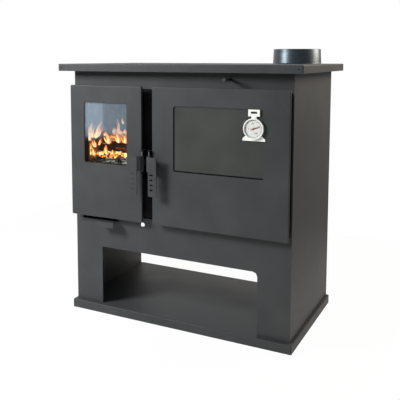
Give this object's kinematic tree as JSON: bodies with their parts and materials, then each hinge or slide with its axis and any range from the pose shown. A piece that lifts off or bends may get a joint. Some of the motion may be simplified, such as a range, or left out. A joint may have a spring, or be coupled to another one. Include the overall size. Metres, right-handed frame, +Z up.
{
  "type": "wood cookstove",
  "caption": "Free-standing wood cookstove with a glazed firebox door, a glazed oven door with thermometer, a flat hob and an open wood store.",
  "frame": {"origin": "centre of the base's underside, on the floor", "axes": "+Z up, -Y towards the user (doors), +X to the user's right (oven side)"},
  "size_m": [0.844, 0.505, 0.899],
  "materials": {
    "casing": "satin anthracite heat-resistant paint on folded steel sheet",
    "black": "matt black heat-resistant paint on steel plate",
    "cast": "fine sand-cast surface, machined flat on top",
    "glass": "polished ceramic glass",
    "steel": "brushed stainless steel",
    "brick": "dry-pressed refractory brick",
    "rope": "knitted glass-fibre rope",
    "log": "bark and charred wood",
    "oven": "cold-rolled steel sheet",
    "dial": "matt white printed disc",
    "needle": "red-brown paint",
    "collar": "dark metallic heat-resistant paint"
  },
  "bodies": {
    "stove": {"base_tray": "casing", "base_stiffener": "black", "side_panel_left": "casing", "side_panel_right": "casing", "front_panel": "casing", "rear_panel": "casing", "top_frame": "casing", "hob_plate": "cast", "flue_collar": "collar", "flue_box": "black", "face_plate": "black", "catch_roller": "steel", "inner_floor": "black", "inner_wall_left": "black", "inner_wall_right": "black", "inner_back": "black", "partition": "black", "firebrick_left": "brick", "firebrick_right": "brick", "firebrick_back": "brick", "baffle": "cast", "grate_ledge": "black", "grate": "cast", "ash_floor": "black", "ash_pan": "oven", "log_front": "log", "log_rear": "log", "log_top": "log", "log_back": "log", "oven_liner": "oven", "oven_shelf": "steel", "fire_door_hinge_pin_lower": "steel", "fire_door_hinge_pin_upper": "steel", "oven_door_hinge_pin_lower": "steel", "oven_door_hinge_pin_upper": "steel", "air_slider_guide": "black"},
    "fire_door": {"fire_door_skin": "casing", "fire_door_frame": "black", "fire_door_glass": "glass", "fire_door_glass_clamp": "black", "fire_door_seal": "rope", "fire_door_latch_pin": "steel"},
    "fire_handle": {"fire_door_handle": "casing"},
    "oven_door": {"oven_door_skin": "casing", "oven_door_frame": "black", "oven_door_glass": "glass", "oven_door_glass_clamp": "black", "oven_door_seal": "rope", "oven_door_latch_pin": "steel", "thermometer_case": "steel", "thermometer_dial": "dial", "thermometer_lens": "glass", "thermometer_nut": "steel"},
    "oven_handle": {"oven_door_handle": "casing"},
    "needle": {"thermometer_needle": "needle"},
    "air_slider": {"air_slider": "casing"},
    "damper": {"damper_rod": "casing", "damper_plate": "black"},
    "hob_ring": {"hob_ring": "cast"},
    "hob_lid": {"hob_lid": "cast"}
  },
  "joints": [
    {"name": "fire_door_hinge", "type": "hinge", "parent": "stove", "child": "fire_door", "pos_m": [-0.375, -0.223, 0.558], "axis": [0, 0, -1], "range_deg": [0, 100]},
    {"name": "oven_door_hinge", "type": "hinge", "parent": "stove", "child": "oven_door", "pos_m": [0.374, -0.223, 0.558], "axis": [0, 0, 1], "range_deg": [0, 100]},
    {"name": "fire_handle_turn", "type": "hinge", "parent": "fire_door", "child": "fire_handle", "pos_m": [-0.0992, -0.2444, 0.535], "axis": [0, 0, 1], "range_deg": [0, 20]},
    {"name": "oven_handle_turn", "type": "hinge", "parent": "oven_door", "child": "oven_handle", "pos_m": [-0.0736, -0.2444, 0.535], "axis": [0, 0, -1], "range_deg": [0, 20]},
    {"name": "needle_turn", "type": "hinge", "parent": "oven_door", "child": "needle", "pos_m": [0.2745, -0.2423, 0.6645], "axis": [0, 1, 0], "range_deg": [-160, 80]},
    {"name": "air_slide", "type": "slide", "parent": "stove", "child": "air_slider", "axis": [-1, 0, 0], "range_m": [0, 0.06]},
    {"name": "damper_slide", "type": "slide", "parent": "stove", "child": "damper", "axis": [0, -1, 0], "range_m": [0, 0.11]},
    {"name": "ring_lift", "type": "slide", "parent": "stove", "child": "hob_ring", "axis": [0, 0, 1], "range_m": [0, 0.06]},
    {"name": "lid_lift", "type": "slide", "parent": "hob_ring", "child": "hob_lid", "axis": [0, 0, 1], "range_m": [0, 0.06]}
  ]
}
